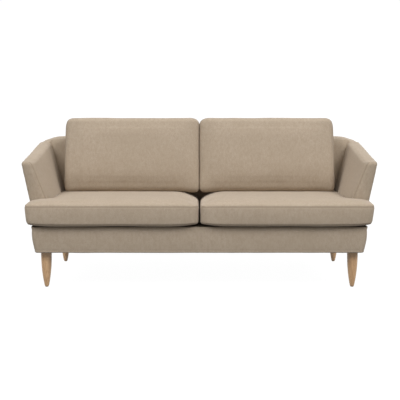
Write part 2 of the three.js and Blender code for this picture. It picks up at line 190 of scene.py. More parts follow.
def inflate(mesh, held, cap, pressure, frames, calm):
    """Vertex positions of the closed mesh after cloth simulation under air pressure. The held vertices
    stay, and no vertex moves further than cap."""
    start = coordinates(mesh)
    holder = bpy.data.objects.new("pad", mesh.copy())
    bpy.context.collection.objects.link(holder)
    group = holder.vertex_groups.new(name="held")
    group.add([int(i) for i in np.flatnonzero(held)], 1.0, "REPLACE")
    cloth = holder.modifiers.new("Cloth", "CLOTH")
    cloth.settings.vertex_group_mass = group.name
    cloth.settings.use_pressure = True
    cloth.settings.uniform_pressure_force = pressure
    cloth.settings.effector_weights.gravity = 0
    cloth.settings.quality = 4
    cloth.collision_settings.use_collision = False
    for number in range(1, frames + 1):
        bpy.context.scene.frame_set(number)
    puffed = evaluated_mesh(holder)
    moved = coordinates(puffed) - start
    bpy.context.scene.frame_set(1)
    bpy.data.objects.remove(holder)
    bpy.data.meshes.remove(puffed)
    moved = calmed(mesh, moved, held, calm)
    length = np.linalg.norm(moved, axis=1)
    return start + moved * (cap * np.tanh(length / cap) / np.maximum(length, 1e-9))[:, None]


def padded_shape(mesh, seams, voxel, cap, held=None, cut=None, pressure=4.0, frames=20, calm=4):
    """A puffed, subdivided copy of a closed mesh, as (mesh, its positions as drawn). seams gives the distance
    to the nearest seam at such positions, held, if any, where the surface stays in place, and cut, if any,
    where the cover's cut carries each point before the air goes in; calm smooths its creases."""
    body = with_modifier(mesh, "REMESH", mode="VOXEL", voxel_size=voxel, adaptivity=0.0)
    rest = coordinates(body)
    distance = seams(rest)
    if cut is not None:
        set_coordinates(body, cut(rest))
    fixed = distance < voxel * 0.6
    if held is not None:
        fixed |= held(rest)
    puffed = inflate(body, fixed, cap, pressure, frames, calm)
    set_coordinates(body, puffed)
    layer = body.attributes.new("rest", "FLOAT_VECTOR", "POINT")
    layer.data.foreach_set("vector", rest.ravel())
    fine = with_modifier(body, "SUBSURF", levels=1, render_levels=1)
    rest = np.empty(len(fine.vertices) * 3)
    fine.attributes["rest"].data.foreach_get("vector", rest)
    fine.attributes.remove(fine.attributes["rest"])
    return fine, rest.reshape(-1, 3)


def push(mesh, depth):
    """Moves each vertex in along its normal by a depth of its own."""
    set_coordinates(mesh, coordinates(mesh) - normals(mesh) * depth[:, None])


def sew(mesh, distance, depth=0.002, width=0.0035):
    """Draws the surface in along the seams, and marks them so that the cloth's colour is darkened there as
    painted shade along the grooves.
    """
    line = np.exp(-((distance / width) ** 2))
    push(mesh, depth * line)
    layer = mesh.attributes.get("seam") or mesh.attributes.new("seam", "FLOAT", "POINT")
    marked = np.empty(len(line), dtype=np.float32)
    layer.data.foreach_get("value", marked)
    layer.data.foreach_set("value", np.maximum(marked, line).astype(np.float32))


def relief(mesh, seed, height=0.0012, size=0.11):
    """Slow unevenness of the stuffing."""
    offset = Vector((seed * 7.3, seed * 3.1, seed * 1.7))
    rise = [noise.fractal(Vector(p) / size + offset, 1.0, 2.0, 2) for p in coordinates(mesh)]
    push(mesh, -height * np.array(rise))


def mirrored(mesh, side):
    """A copy for the right side, or its mirror image for the left."""
    copy = mesh.copy()
    if side < 0:
        copy.transform(Matrix.Scale(-1, 4, Vector((1, 0, 0))))
        copy.flip_normals()
    return copy


def cad_mesh(node):
    return frame["nodes"][node].data.copy()


# ---------------------------------------------------------------- materials

def material(name, roughness, metallic=0.0):
    mat = bpy.data.materials.new(name)
    mat.use_nodes = True
    shader = mat.node_tree.nodes["Principled BSDF"]
    shader.inputs["Roughness"].default_value = roughness
    shader.inputs["Metallic"].default_value = metallic
    return mat, mat.node_tree, shader


def srgb(*levels):
    """Linear colour from 8-bit display levels."""
    return tuple(c / 12.92 if c <= 0.04045 else ((c + 0.055) / 1.055) ** 2.4
                 for c in (level / 255 for level in levels)) + (1.0,)


def add(tree, kind, inputs=None, **settings):
    """A node with its settings, and with values or links in its inputs."""
    node = tree.nodes.new(kind)
    for key, value in settings.items():
        setattr(node, key, value)
    for key, value in (inputs or {}).items():
        if isinstance(value, bpy.types.NodeSocket):
            tree.links.new(value, node.inputs[key])
        else:
            node.inputs[key].default_value = value
    return node


def place(tree, scale=(1, 1, 1)):
    """Position on the object, stretched by scale."""
    origin = add(tree, "ShaderNodeTexCoord")
    mapping = add(tree, "ShaderNodeMapping", {"Vector": origin.outputs["Object"], "Scale": scale})
    return mapping.outputs["Vector"]


def cloud(tree, scale, stretch=(1, 1, 1), detail=4.0, roughness=0.6):
    return add(tree, "ShaderNodeTexNoise", {"Vector": place(tree, stretch), "Scale": scale, "Detail": detail,
                                           "Roughness": roughness}).outputs["Fac"]


def between(tree, factor, low, high, dark, light):
    """A colour from dark to light as factor goes from low to high."""
    spread = add(tree, "ShaderNodeMapRange", {"Value": factor, "From Min": low, "From Max": high})
    mix = add(tree, "ShaderNodeMix", data_type="RGBA")
    tree.links.new(spread.outputs[0], mix.inputs[0])
    for index, colour in ((6, dark), (7, light)):
        if isinstance(colour, bpy.types.NodeSocket):
            tree.links.new(colour, mix.inputs[index])
        else:
            mix.inputs[index].default_value = colour
    return mix.outputs[2]


def raise_by(tree, shader, height, strength, distance):
    bump = add(tree, "ShaderNodeBump", {"Height": height, "Strength": strength, "Distance": distance})
    tree.links.new(bump.outputs["Normal"], shader.inputs["Normal"])


def upholstery():
    """Beige velour: faint slow clouds in the nap, over a fine even pile, with painted shade along the marked
    seams.
    """
    mat, tree, shader = material("upholstery_fabric", 0.95)
    slow = between(tree, cloud(tree, 6.0, (1, 1, 0.7)), 0.30, 0.70, srgb(173, 158, 139), srgb(180, 165, 147))
    nap = cloud(tree, 90.0, (1, 1, 0.55), 5.0, 0.7)
    colour = between(tree, nap, 0.28, 0.60, srgb(165, 149, 130), slow)
    pile = cloud(tree, 900.0, (1, 1, 1), 2.0, 0.7)
    colour = between(tree, pile, 0.30, 0.52, srgb(152, 136, 118), colour)
    # The seam mark darkens the colour towards a deep brown: painted shade along the seams and the creases marked
    # like them.
    seam = add(tree, "ShaderNodeAttribute", attribute_name="seam").outputs["Fac"]
    colour = between(tree, seam, 0.0, 2.4, colour, srgb(104, 90, 74))
    tree.links.new(colour, shader.inputs["Base Color"])
    shader.inputs["Sheen Weight"].default_value = 0.3
    shader.inputs["Sheen Roughness"].default_value = 0.45
    shader.inputs["Sheen Tint"].default_value = srgb(255, 248, 240)
    shader.inputs["Specular IOR Level"].default_value = 0.15
    raise_by(tree, shader, pile, 0.35, 0.0008)
    return mat


def oak():
    """Light oak with upright grain: broad bands, fine streaks and short pores."""
    mat, tree, shader = material("oak_wood", 0.45)
    bands = cloud(tree, 26.0, (1, 1, 0.05), 3.0, 0.5)
    streaks = cloud(tree, 260.0, (1, 1, 0.02), 4.0, 0.6)
    pores = cloud(tree, 1100.0, (1, 1, 0.03), 2.0, 0.6)
    wood = between(tree, bands, 0.35, 0.65, srgb(198, 159, 117), srgb(217, 179, 134))
    wood = between(tree, streaks, 0.25, 0.6, srgb(174, 133, 93), wood)
    wood = between(tree, pores, 0.30, 0.38, srgb(144, 105, 70), wood)
    tree.links.new(wood, shader.inputs["Base Color"])
    shader.inputs["Coat Weight"].default_value = 0.15
    shader.inputs["Coat Roughness"].default_value = 0.3
    raise_by(tree, shader, pores, 0.25, 0.0004)
    return mat


def timber(name, dark, light, grain):
    """Raw frame wood with its grain along one axis."""
    mat, tree, shader = material(name, 0.8)
    colour = between(tree, cloud(tree, 120.0, grain, 5.0, 0.65), 0.3, 0.7, dark, light)
    tree.links.new(colour, shader.inputs["Base Color"])
    raise_by(tree, shader, cloud(tree, 500.0, grain, 2.0, 0.6), 0.3, 0.0005)
    return mat


def cloth(name, dark, light, threads, roughness=0.95):
    """Plain cloth or felt of that many threads a metre."""
    mat, tree, shader = material(name, roughness)
    colour = between(tree, cloud(tree, threads / 6), 0.3, 0.7, dark, light)
    tree.links.new(colour, shader.inputs["Base Color"])
    raise_by(tree, shader, cloud(tree, threads, (1, 1, 1), 2.0, 0.6), 0.4, 0.0006)
    return mat


def metal(name, dark, light, roughness):
    mat, tree, shader = material(name, roughness, 1.0)
    tree.links.new(between(tree, cloud(tree, 300.0), 0.3, 0.7, dark, light), shader.inputs["Base Color"])
    raise_by(tree, shader, cloud(tree, 1500.0, (0.1, 1, 1)), 0.15, 0.0002)
    return mat


def plastic(name, dark, light, roughness):
    mat, tree, shader = material(name, roughness)
    tree.links.new(between(tree, cloud(tree, 200.0), 0.3, 0.7, dark, light), shader.inputs["Base Color"])
    raise_by(tree, shader, cloud(tree, 2000.0), 0.2, 0.0002)
    return mat


FABRIC = upholstery()
OAK = oak()
FINISHES = {
    "timber": timber("frame_timber", srgb(176, 146, 104), srgb(206, 178, 134), (0.05, 1, 1)),
    "plywood": timber("side_plywood", srgb(186, 158, 116), srgb(216, 192, 150), (1, 0.08, 1)),
    "steel": metal("zinc_steel", srgb(120, 122, 126), srgb(160, 162, 166), 0.35),
    "glide": plastic("glide_plastic", srgb(158, 133, 104), srgb(172, 147, 117), 0.55),
    "lining": cloth("lining_cloth", srgb(40, 38, 36), srgb(62, 60, 57), 600.0),
    "felt": cloth("deck_cloth", srgb(120, 110, 96), srgb(150, 139, 122), 500.0),
    "foam": cloth("cushion_foam", srgb(222, 212, 184), srgb(238, 230, 206), 400.0),
    "webbing": cloth("elastic_webbing", srgb(34, 32, 30), srgb(60, 57, 53), 300.0),
    "zip": plastic("zip_tape", srgb(134, 118, 100), srgb(156, 140, 121), 0.5),
}
for entry in frame["record"]["subparts"]:
    if entry["material_slot"] in FINISHES:
        node = frame["nodes"][entry["node"]]
        node.data.materials.clear()
        node.data.materials.append(FINISHES[entry["material_slot"]])


# ---------------------------------------------------------------- shell

def side_x(z):
    return SIDE_AT_FLOOR + SIDE_LEAN * z


def rear_y(z):
    return BACK_REAR - REAR_LEAN * (BACK_TOP - z)


def corner_radius(z):
    return CORNER_LOW + (CORNER_HIGH - CORNER_LOW) * (z - BASE_BOTTOM) / (BACK_TOP - BASE_BOTTOM)


def inner_back_y(z):
    return BACK_INNER + BACK_INNER_LEAN * max(z - INNER_FROM, 0)


def shell_ring(outer, inner, top):
    """A cross-section of the shell, a little inside its surface, from the plan lines it stands between."""
    def point(z, from_outer=None, from_inner=None):
        o, i = Vector(outer(z)), Vector(inner(z))
        width = (i - o).length
        share = from_outer / width if from_inner is None else 1 - from_inner / width
        plan = o.lerp(i, share)
        return (plan.x, plan.y, z)

    top -= SKIN
    turns = np.linspace(0, math.pi / 2, 4)
    ring = [point(BASE_BOTTOM + SKIN, from_outer=SKIN)]
    ring += [point(top - TOP_EDGE * (1 - math.sin(t)), from_outer=SKIN + TOP_EDGE * (1 - math.cos(t)))
             for t in turns]
    ring += [point(top - TOP_EDGE * (1 - math.sin(t)), from_inner=SKIN + TOP_EDGE * (1 - math.cos(t)))
             for t in turns[::-1]]
    ring += [point(INNER_FROM, from_inner=SKIN), point(PAD_BOTTOM, from_inner=SKIN)]
    ring += [point(PAD_BOTTOM, from_outer=WALL), point(BASE_BOTTOM + SKIN, from_outer=WALL)]
    return ring


def arm_front_ring():
    y = ARM_FRONT + SKIN
    return shell_ring(
        lambda z: (side_x(z), y),
        lambda z: (ARM_INNER_FRONT + ARM_INNER_FRONT_LEAN * max(z - INNER_FROM, 0), y),
        ARM_TOP_FRONT)


def corner_ring(turn):
    def arc(x, y, radius):
        return (x - radius * (1 - math.cos(turn)), y - radius * (1 - math.sin(turn)))
    return shell_ring(
        lambda z: arc(side_x(z), rear_y(z), corner_radius(z)),
        lambda z: arc(ARM_INNER_REAR + ARM_INNER_REAR_LEAN * max(z - INNER_FROM, 0), inner_back_y(z),
                      INNER_CORNER),
        ARM_TOP_REAR + (BACK_TOP - ARM_TOP_REAR) * math.sin(turn) ** 2)


def back_ring(x):
    return shell_ring(lambda z: (x, rear_y(z)), lambda z: (x, inner_back_y(z)), BACK_TOP)


def outside_seam_distance(rest):
    """Distance to the seam under the top of the outside, along the arms and the back."""
    x, y, z = np.abs(rest[:, 0]), rest[:, 1], rest[:, 2]
    radius = corner_radius(z)
    u = np.maximum(x - side_x(z) + radius, 0)
    v = np.maximum(y - rear_y(z) + radius, 0)
    under_skin = radius - np.hypot(u, v)
    along = np.clip((y - ARM_FRONT) / (ARM_TOP_END - ARM_FRONT), 0, 1)
    arm_top = ARM_TOP_FRONT + (ARM_TOP_REAR - ARM_TOP_FRONT) * along
    turn = np.arctan2(v, np.maximum(u, 1e-9))
    top = np.where(v > 0, ARM_TOP_REAR + (BACK_TOP - ARM_TOP_REAR) * np.sin(turn) ** 2, arm_top)
    outside = (under_skin < 0.02) & (y > ARM_FRONT + FRONT_SEAM)
    return np.where(outside, np.abs(z - top + OUTSIDE_SEAM_DROP), 1.0)


def inner_corner_distance(rest):
    """Distance to the upright line where the inside of an arm meets the inside of the back."""
    x, y, z = np.abs(rest[:, 0]), rest[:, 1], rest[:, 2]
    rise = np.maximum(z - INNER_FROM, 0)
    corner_x = ARM_INNER_REAR + ARM_INNER_REAR_LEAN * rise
    corner_y = BACK_INNER + BACK_INNER_LEAN * rise
    return np.hypot(x - corner_x, y - corner_y)


def arm_seam_distance(rest):
    front = np.where(rest[:, 1] > ARM_FRONT + 2 * SKIN, np.abs(rest[:, 1] - ARM_FRONT - FRONT_SEAM), 1.0)
    return np.minimum(front, outside_seam_distance(rest))


def meet(mesh, gap):
    """Squares the ends off where arm and back covers are sewn together, that gap past the line they share."""
    co = coordinates(mesh)
    end = np.abs(np.abs(co[:, 0]) - SHELL_SPLIT) < 0.004
    co[end, 0] = np.sign(co[end, 0]) * (SHELL_SPLIT + gap)
    set_coordinates(mesh, co)


def make_arms():
    rings = [arm_front_ring()]
    rings += [corner_ring(turn) for turn in np.linspace(0, math.pi / 2, 7)]
    rings.append(back_ring(SHELL_SPLIT + CLEAR))
    shape, rest = padded_shape(
        loft("arm", rings), arm_seam_distance, 0.009, 0.006,
        lambda r: (r[:, 0] < SHELL_SPLIT + 0.006) | (r[:, 2] < BASE_BOTTOM + 0.006), frames=12)
    for hand, side in HANDS.items():
        mesh = mirrored(shape, side)
        sew(mesh, arm_seam_distance(rest))
        # The crease where the arm meets the back is drawn in a little and marked like a seam, which paints shade
        # along it.
        sew(mesh, inner_corner_distance(rest), 0.002, 0.007)
        relief(mesh, 11 + side, 0.0008)
        meet(mesh, TOUCH)
        arm = show(mesh, f"arm_{hand}", FABRIC, "frame")
        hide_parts(f"arm_cover_{hand}")


def make_back():
    split = SHELL_SPLIT - CLEAR
    shape, rest = padded_shape(
        loft("back", [back_ring(split), back_ring(-split)]), outside_seam_distance, 0.010, 0.006,
        lambda r: (np.abs(r[:, 0]) > split - 0.006) | (r[:, 2] < BASE_BOTTOM + 0.006), frames=12)
    sew(shape, outside_seam_distance(rest))
    relief(shape, 5, 0.0008)
    meet(shape, -TOUCH)
    back = show(shape, "back", FABRIC, "frame")
    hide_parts("back_cover")


# ---------------------------------------------------------------- apron, deck and underside

APRON_SEAM_X = 0.004
HEM_HEIGHT = 0.013
APRON_ROLL_FROM = 0.235


def apron_plan():
    """Points and inward normals of the apron's outer line at the base's bottom, from arm to arm."""
    half = side_x(BASE_BOTTOM)
    line = []
    for y in np.linspace(ARM_FRONT - CLEAR, BASE_FRONT + APRON_CORNER, 18):
        line.append(((-half, y), (1, 0)))
    for turn in np.linspace(0, math.pi / 2, 9)[1:]:
        inward = (math.cos(turn), math.sin(turn))
        corner = (-half + APRON_CORNER, BASE_FRONT + APRON_CORNER)
        line.append(((corner[0] - APRON_CORNER * inward[0], corner[1] - APRON_CORNER * inward[1]), inward))
    middle = half - APRON_CORNER
    for x in np.linspace(-middle, 0, 140)[1:]:
        line.append(((x, BASE_FRONT), (0, 1)))
    return line + [((-x, y), (-nx, ny)) for (x, y), (nx, ny) in line[-2::-1]]


def apron_section():
    """Depth under the outer line and height, round the apron's cross-section."""
    edge = 0.005
    turns = np.linspace(0, math.pi / 2, 5)
    low = [(edge * (1 - math.sin(t)), BASE_BOTTOM + edge * (1 - math.cos(t))) for t in turns]
    face = [(0.0, z) for z in np.linspace(BASE_BOTTOM + edge, APRON_TOP - edge, 40)[1:-1]]
    high = [(edge * (1 - math.cos(t)), APRON_TOP - edge * (1 - math.sin(t))) for t in turns]
    return low + face + high + [(COVER, APRON_TOP), (COVER, BASE_BOTTOM)]


def make_apron():
    rings = []
    section = apron_section()
    for (x, y), (nx, ny) in apron_plan():
        ring = []
        for depth, z in section:
            groove = 0.0022 * math.exp(-((x - APRON_SEAM_X) / 0.0045) ** 2) if depth < COVER else 0
            hem = 0.0010 * math.exp(-((z - BASE_BOTTOM - HEM_HEIGHT) / 0.0025) ** 2) if depth == 0 else 0
            inward = depth + groove + hem
            rolled = max(0, (z - APRON_ROLL_FROM) / (APRON_TOP - APRON_ROLL_FROM))
            roll = (0.004 + 0.010 * abs(nx)) * rolled ** 2
            bow = 0.001 * math.sin(math.pi * (z - BASE_BOTTOM) / (APRON_TOP - BASE_BOTTOM))
            inward += (roll - bow) * (depth < COVER)
            spread = side_x(z) / side_x(BASE_BOTTOM)
            ring.append(((x + nx * inward) * spread, y + ny * inward, z))
        rings.append(ring)
    mesh = loft("apron", rings[::-1])
    relief(mesh, 3, 0.0008)
    apron = show(mesh, "apron", FABRIC, "frame")
    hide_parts("apron_cover")


DECK_TUCK = 0.010


def make_deck():
    """The platform under the seat cushions, with a stitched line inside its edge, tucked in at the rear."""
    mesh = with_modifier(cad_mesh("deck_pad"), "REMESH", mode="VOXEL", voxel_size=0.009, adaptivity=0.0)
    low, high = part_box("deck_pad")
    co = coordinates(mesh)
    edge = np.minimum.reduce([co[:, 1] - low.y, high.y - co[:, 1], high.x - np.abs(co[:, 0])])
    push(mesh, 0.0025 * np.exp(-(((edge - 0.03) / 0.008) ** 2)))
    co = coordinates(mesh)
    co[:, 1] += DECK_TUCK * np.clip((co[:, 1] - high.y + 0.045) / 0.04, 0, 1)
    co[:, 2] = np.clip(co[:, 2], low.z, high.z)
    set_coordinates(mesh, co)
    deck = show(mesh, "deck", FINISHES["felt"], "frame")
    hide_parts("deck_pad")


def make_dust_cover():
    """The cloth stapled under the base: it sags a little between the rails."""
    low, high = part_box("dust_cover")
    columns, rows = 166, 68
    points, index, faces = [], {}, []
    radius = {-1: 0.012, 1: 0.050}
    for i in range(columns + 1):
        for j in range(rows + 1):
            x = low.x + (high.x - low.x) * i / columns
            y = low.y + (high.y - low.y) * j / rows
            end = -1 if y < 0 else 1
            u = abs(x) - (high.x - radius[end])
            v = end * y - (abs(high.y if end > 0 else low.y) - radius[end])
            if u > 0 and v > 0 and math.hypot(u, v) > radius[end] + 0.004:
                continue
            tight = math.sin(math.pi * i / columns) * math.sin(math.pi * j / rows)
            sag = 0.0035 * tight * (1 + 0.5 * noise.noise(Vector((x * 9, y * 9, 2.0))))
            index[i, j] = len(points)
            points.append((x, y, low.z + 0.0004 - sag * min(1, abs(x) / 0.2)))
    for i in range(columns):
        for j in range(rows):
            corners = [(i, j), (i, j + 1), (i + 1, j + 1), (i + 1, j)]
            if all(c in index for c in corners):
                faces.append([index[c] for c in corners])
    sheet = show(new_mesh("dust_sheet", points, faces), "dust_sheet", FINISHES["lining"], "frame")
    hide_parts("dust_cover")


# ---------------------------------------------------------------- legs

LEG_TOP_RADIUS, LEG_FOOT_RADIUS, LEG_TAPER = 0.0275, 0.0115, 2.3
LEG_FOOT_ROUND = 0.0055


def leg_profile(bottom, top):
    profile = [(0, bottom)]
    for turn in np.linspace(0, math.pi / 2, 6):
        profile.append((LEG_FOOT_RADIUS - LEG_FOOT_ROUND * (1 - math.sin(turn)),
                        bottom + LEG_FOOT_ROUND * (1 - math.cos(turn))))
    for rise in np.linspace(0, 1, 46)[1:]:
        radius = LEG_TOP_RADIUS - (LEG_TOP_RADIUS - LEG_FOOT_RADIUS) * (1 - rise) ** LEG_TAPER
        profile.append((radius, bottom + LEG_FOOT_ROUND + rise * (top - bottom - LEG_FOOT_ROUND)))
    return profile + [(0, top)]


def make_legs():
    for hand in HANDS:
        for end in ("front", "rear"):
            low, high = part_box(f"leg_{end}_{hand}")
            middle = (low + high) / 2
            mesh = turned("leg", leg_profile(low.z, high.z), 64)
            mesh.transform(Matrix.Translation((middle.x, middle.y, 0)))
            leg = show(mesh, f"turned_leg_{end}_{hand}", OAK, "frame")
            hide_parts(f"leg_{end}_{hand}")
            low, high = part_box(f"glide_{end}_{hand}")
            radius = (high.x - low.x) / 2
            rim = [(0, 0), (radius - 0.0012, 0), (radius - 0.0003, 0.0004), (radius, 0.0012),
                   (radius, high.z), (0, high.z)]
            mesh = turned("glide", rim, 48)
            mesh.transform(Matrix.Translation((middle.x, middle.y, 0)))
            glide = show(mesh, f"foot_glide_{end}_{hand}", FINISHES["glide"], "frame")
            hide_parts(f"glide_{end}_{hand}")


# ---------------------------------------------------------------- cushions

SEAT_SEAMS = (0.4245, 0.334)
SEAT_LOW, SEAT_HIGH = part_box("seat_cushion_right_cover")
SEAT_CROWN = [0.019, 0.022, 0.021, 0.012, 0.000, -0.006]
SEAT_DROOP = [0.0, 0.012, 0.045, 0.050]
SEAT_BOW, SEAT_LEAN, SEAT_CORNER_LIFT, SEAT_CLOSER = 0.0018, 0.005, 0.022, 0.0045
BACK_SPAN = (0.003, 0.766)
BACK_DOME, BACK_PULL, BACK_DROP, BACK_CLOSER, BACK_TALLER = 0.022, 0.007, 0.020, 0.010, 0.009
BACK_ROLL = 0.024
BACK_SEAMS = (0.020, BACK_DEPTH - 0.018)
ZIP_START, ZIP_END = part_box("seat_cushion_right_zip_chain")[0].x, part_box("seat_cushion_right_zip_chain")[1].x
SEAT_ZIP_Z = (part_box("seat_cushion_right_zip_chain")[0].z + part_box("seat_cushion_right_zip_chain")[1].z) / 2
BACK_ZIP_UP = 0.060
TO_RECLINED = (Matrix.Translation(BACK_FOOT) @ Matrix.Rotation(math.pi / 2 - RECLINE, 4, "X")).inverted()


def reclined(points):
    """Points in the back cushion's own frame: along the sofa, up the recline, and towards the sitter."""
    turn = np.array(TO_RECLINED.to_3x3())
    return points @ turn.T + np.array(TO_RECLINED.translation)


def upright(points):
    back = TO_RECLINED.inverted()
    return points @ np.array(back.to_3x3()).T + np.array(back.translation)


def near_zip(x):
    return (x > ZIP_START - 0.01) & (x < ZIP_END + 0.01)


def seat_seam_distance(rest):
    seams = np.min([np.abs(rest[:, 2] - z) for z in SEAT_SEAMS], axis=0)
    side = (rest[:, 2] > 0.325) & (rest[:, 2] < 0.433)
    zipped = (rest[:, 1] > SEAT_REAR - 0.006) & near_zip(rest[:, 0])
    zips = np.where(zipped, np.abs(rest[:, 2] - SEAT_ZIP_Z), 1.0)
    return np.minimum(np.where(side, seams, 1.0), zips)


def rise(distance, reach):
    """Climbs from 0 at an edge, steeply at first, to 1 at a distance of reach."""
    return np.sin(math.pi / 2 * np.clip(distance / reach, 0, 1))


def rounded(distance, reach):
    """Climbs from 0 at an edge to 1 at a distance of reach as a quarter circle does."""
    return np.sqrt(1 - (1 - np.clip(distance / reach, 0, 1)) ** 2)


def near(distance, reach):
    """Falls from 1 at an edge towards 0 well away from it."""
    return np.exp(-np.maximum(distance, 0) / reach)


def seat_cut(rest):
    """The seat cover's cut: a crowned top, highest in front of the back cushion, bowed sides and a
    front that leans in."""
    x, y, z = rest.T
    to_middle, to_front, to_rear = x - SEAT_LOW.x, y - SEAT_LOW.y, SEAT_REAR - y
    to_outside = np.where(y < ARM_FRONT, SEAT_HIGH.x, ARM_INNER_FRONT) - x
    front = 0.55 * rise(to_front, 0.15) + 0.45 * rounded(to_front, 0.030)
    panel = rise(to_middle, 0.085) * (1 - near(to_outside, 0.036)) * front * (1 - near(to_rear, 0.03))
    crown = np.interp(y, [-0.42, -0.30, -0.20, -0.05, 0.05, 0.19], SEAT_CROWN)
    above = np.clip((z - SEAT_SEAMS[0]) / 0.012, 0, 1)
    below = np.clip((SEAT_SEAMS[1] + 0.02 - z) / 0.03, 0, 1)
    level = (z - SEAT_SEAMS[1]) / (SEAT_SEAMS[0] - SEAT_SEAMS[1])
    bow = SEAT_BOW * np.clip(4 * level * (1 - level), 0, 1)
    corner = near(np.minimum(to_middle, to_outside), 0.05) * near(np.minimum(to_front, to_rear), 0.05)
    droop = np.interp(y, [-0.30, -0.15, 0.03, 0.19], SEAT_DROOP) * near(to_middle, 0.035)
    moved = rest.copy()
    moved[:, 2] += above * crown * panel + below * SEAT_CORNER_LIFT * corner
    moved[:, 2] -= droop * np.clip((z - 0.36) / 0.06, 0, 1)
    moved[:, 1] += (SEAT_LEAN * np.clip(level, 0, 1) - bow) * near(to_front, 0.03)
    moved[:, 0] += 0.7 * bow * np.clip((x - 0.83) / 0.04, 0, 1)
    moved[:, 0] -= (0.2 * bow + SEAT_CLOSER) * near(to_middle, 0.02)
    return moved


def back_cut(rest):
    """The back cover's cut: a domed front that turns under at the foot, a lifted top edge, close sides and
    pulled lower corners."""
    place = reclined(rest)
    u, v, w = place.T
    to_middle, to_outside = u - BACK_SPAN[0], BACK_SPAN[1] - u
    to_foot, to_top = rest[:, 2] - BACK_FOOT.z, BACK_HEIGHT - v
    dome = (rise(to_middle, 0.12) * rise(to_outside, 0.12) * rise(to_foot, 0.20)
            * (0.6 + 0.4 * rise(to_top, 0.12)))
    place[:, 2] += BACK_DOME * dome * np.clip((w - BACK_SEAMS[1]) / 0.012, 0, 1)
    place[:, 0] += BACK_PULL * near(to_foot, 0.03) * (near(to_outside, 0.03) - near(to_middle, 0.03))
    place[:, 0] -= BACK_CLOSER * near(to_middle, 0.03)
    place[:, 1] += BACK_TALLER * near(to_top, 0.05)
    corner = near(to_foot, 0.045) * (near(to_middle, 0.045) + near(to_outside, 0.045))
    place[:, 2] -= BACK_ROLL * near(to_foot, 0.048) * np.clip((w - 0.08) / 0.05, 0, 1) * (1 - 0.6 * corner)
    moved = upright(place)
    moved[:, 2] -= BACK_DROP * corner
    return moved


def back_seam_distance(rest):
    place = reclined(rest)
    seams = np.min([np.abs(place[:, 2] - depth) for depth in BACK_SEAMS], axis=0)
    zipped = (place[:, 2] < 0.006) & near_zip(place[:, 0])
    return np.minimum(seams, np.where(zipped, np.abs(place[:, 1] - BACK_ZIP_UP), 1.0))


def keep_seat_in_place(mesh):
    """Keeps a right seat cushion on the deck, beside the arm, in front of it and clear of the middle."""
    co = coordinates(mesh)
    ear_rear = ARM_FRONT - CLEAR
    side = np.interp(co[:, 1], [ARM_FRONT, BACK_INNER], [ARM_INNER_FRONT, ARM_INNER_REAR]) - CLEAR
    co[:, 0] = np.maximum(co[:, 0], CLEAR)
    co[:, 2] = np.maximum(co[:, 2], DECK_TOP + CLEAR)
    over_x, over_y = co[:, 0] - side, co[:, 1] - ear_rear
    inside = (over_x > 0) & (over_y > 0)
    sideways = inside & (over_x <= over_y)
    co[sideways, 0] = side[sideways]
    co[inside & ~sideways, 1] = ear_rear
    co[:, 1] = np.minimum(co[:, 1], BACK_INNER - 0.004)
    set_coordinates(mesh, co)


def keep_back_in_place(mesh, seat):
    """Keeps a right back cushion clear of the middle and the arm, at most 5 mm into the back's padding, and
    lays it on the seat cushion."""
    place = reclined(coordinates(mesh))
    place[:, 0] = np.maximum(place[:, 0], TOUCH)
    place[:, 2] = np.maximum(place[:, 2], -0.005)
    co = upright(place)
    arm = ARM_INNER_REAR + ARM_INNER_REAR_LEAN * np.maximum(co[:, 2] - INNER_FROM, 0) - SKIN
    co[:, 0] = np.minimum(co[:, 0], arm)
    tree = BVHTree.FromPolygons([v.co for v in seat.vertices], [tuple(p.vertices) for p in seat.polygons])
    for i in np.flatnonzero(co[:, 2] < 0.49):
        hit = tree.ray_cast(Vector((co[i, 0], co[i, 1], 1.0)), Vector((0, 0, -1)))[0]
        if hit is not None:
            co[i, 2] = max(co[i, 2], hit.z + CLEAR)
    set_coordinates(mesh, co)


def keep(mesh, side, wave):
    """Keeps a finished cushion on its own side of the middle, where it presses against its neighbour along
    a wave of that height through their depth."""
    co = coordinates(mesh)
    middle = wave * np.sin(reclined(co)[:, 2] * 2 * math.pi / 0.07)
    co[:, 0] += middle * near(np.abs(co[:, 0]), 0.02)
    co[:, 0] = side * np.maximum(side * co[:, 0], side * middle + TOUCH)
    set_coordinates(mesh, co)


def make_cushions():
    seat, seat_rest = padded_shape(cad_mesh("seat_cushion_core_right"), seat_seam_distance, 0.008, 0.007,
                                    cut=seat_cut, calm=12)
    back, back_rest = padded_shape(cad_mesh("back_cushion_filling_right"), back_seam_distance, 0.008, 0.010,
                                    cut=back_cut, calm=60)
    keep_seat_in_place(seat)
    keep_back_in_place(back, seat)
    for hand, side in HANDS.items():
        kinds = (("seat", seat, seat_seam_distance(seat_rest), "core", 0.8),
                 ("back", back, back_seam_distance(back_rest), "filling", 0.7))
        for kind, shape, distance, inside, fill in kinds:
            mesh = mirrored(shape, side)
            sew(mesh, distance, 0.0015, 0.003)
            relief(mesh, 20 + side + 5 * (kind == "back"), 0.0018, 0.16)
            keep(mesh, side, 0.0012 if kind == "back" else 0)
            name = f"{kind}_cushion_{hand}"
            cushion = show(mesh, f"padded_{name}", FABRIC, name)
            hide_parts(f"{name}_cover", f"{kind}_cushion_{inside}_{hand}")


# ---------------------------------------------------------------- zips

TOOTH_PITCH = 0.0025


def rounded_box(size, centre, radius=0.0004):
    """A box with bevelled edges, as (vertices, faces)."""
    shape = bmesh.new()
    bmesh.ops.create_cube(shape, size=1.0)
    bmesh.ops.scale(shape, vec=size, verts=shape.verts)
    bmesh.ops.bevel(shape, geom=shape.edges[:], offset=radius, segments=2, affect="EDGES", profile=0.5)
    bmesh.ops.translate(shape, vec=centre, verts=shape.verts)
    shape.verts.index_update()
    parts = [tuple(v.co) for v in shape.verts], [tuple(v.index for v in f.verts) for f in shape.faces]
    shape.free()
    return parts


def joined(name, parts):
    vertices, faces = [], []
    for points, polygons in parts:
        faces += [tuple(i + len(vertices) for i in polygon) for polygon in polygons]
        vertices += points
    return new_mesh(name, vertices, faces)


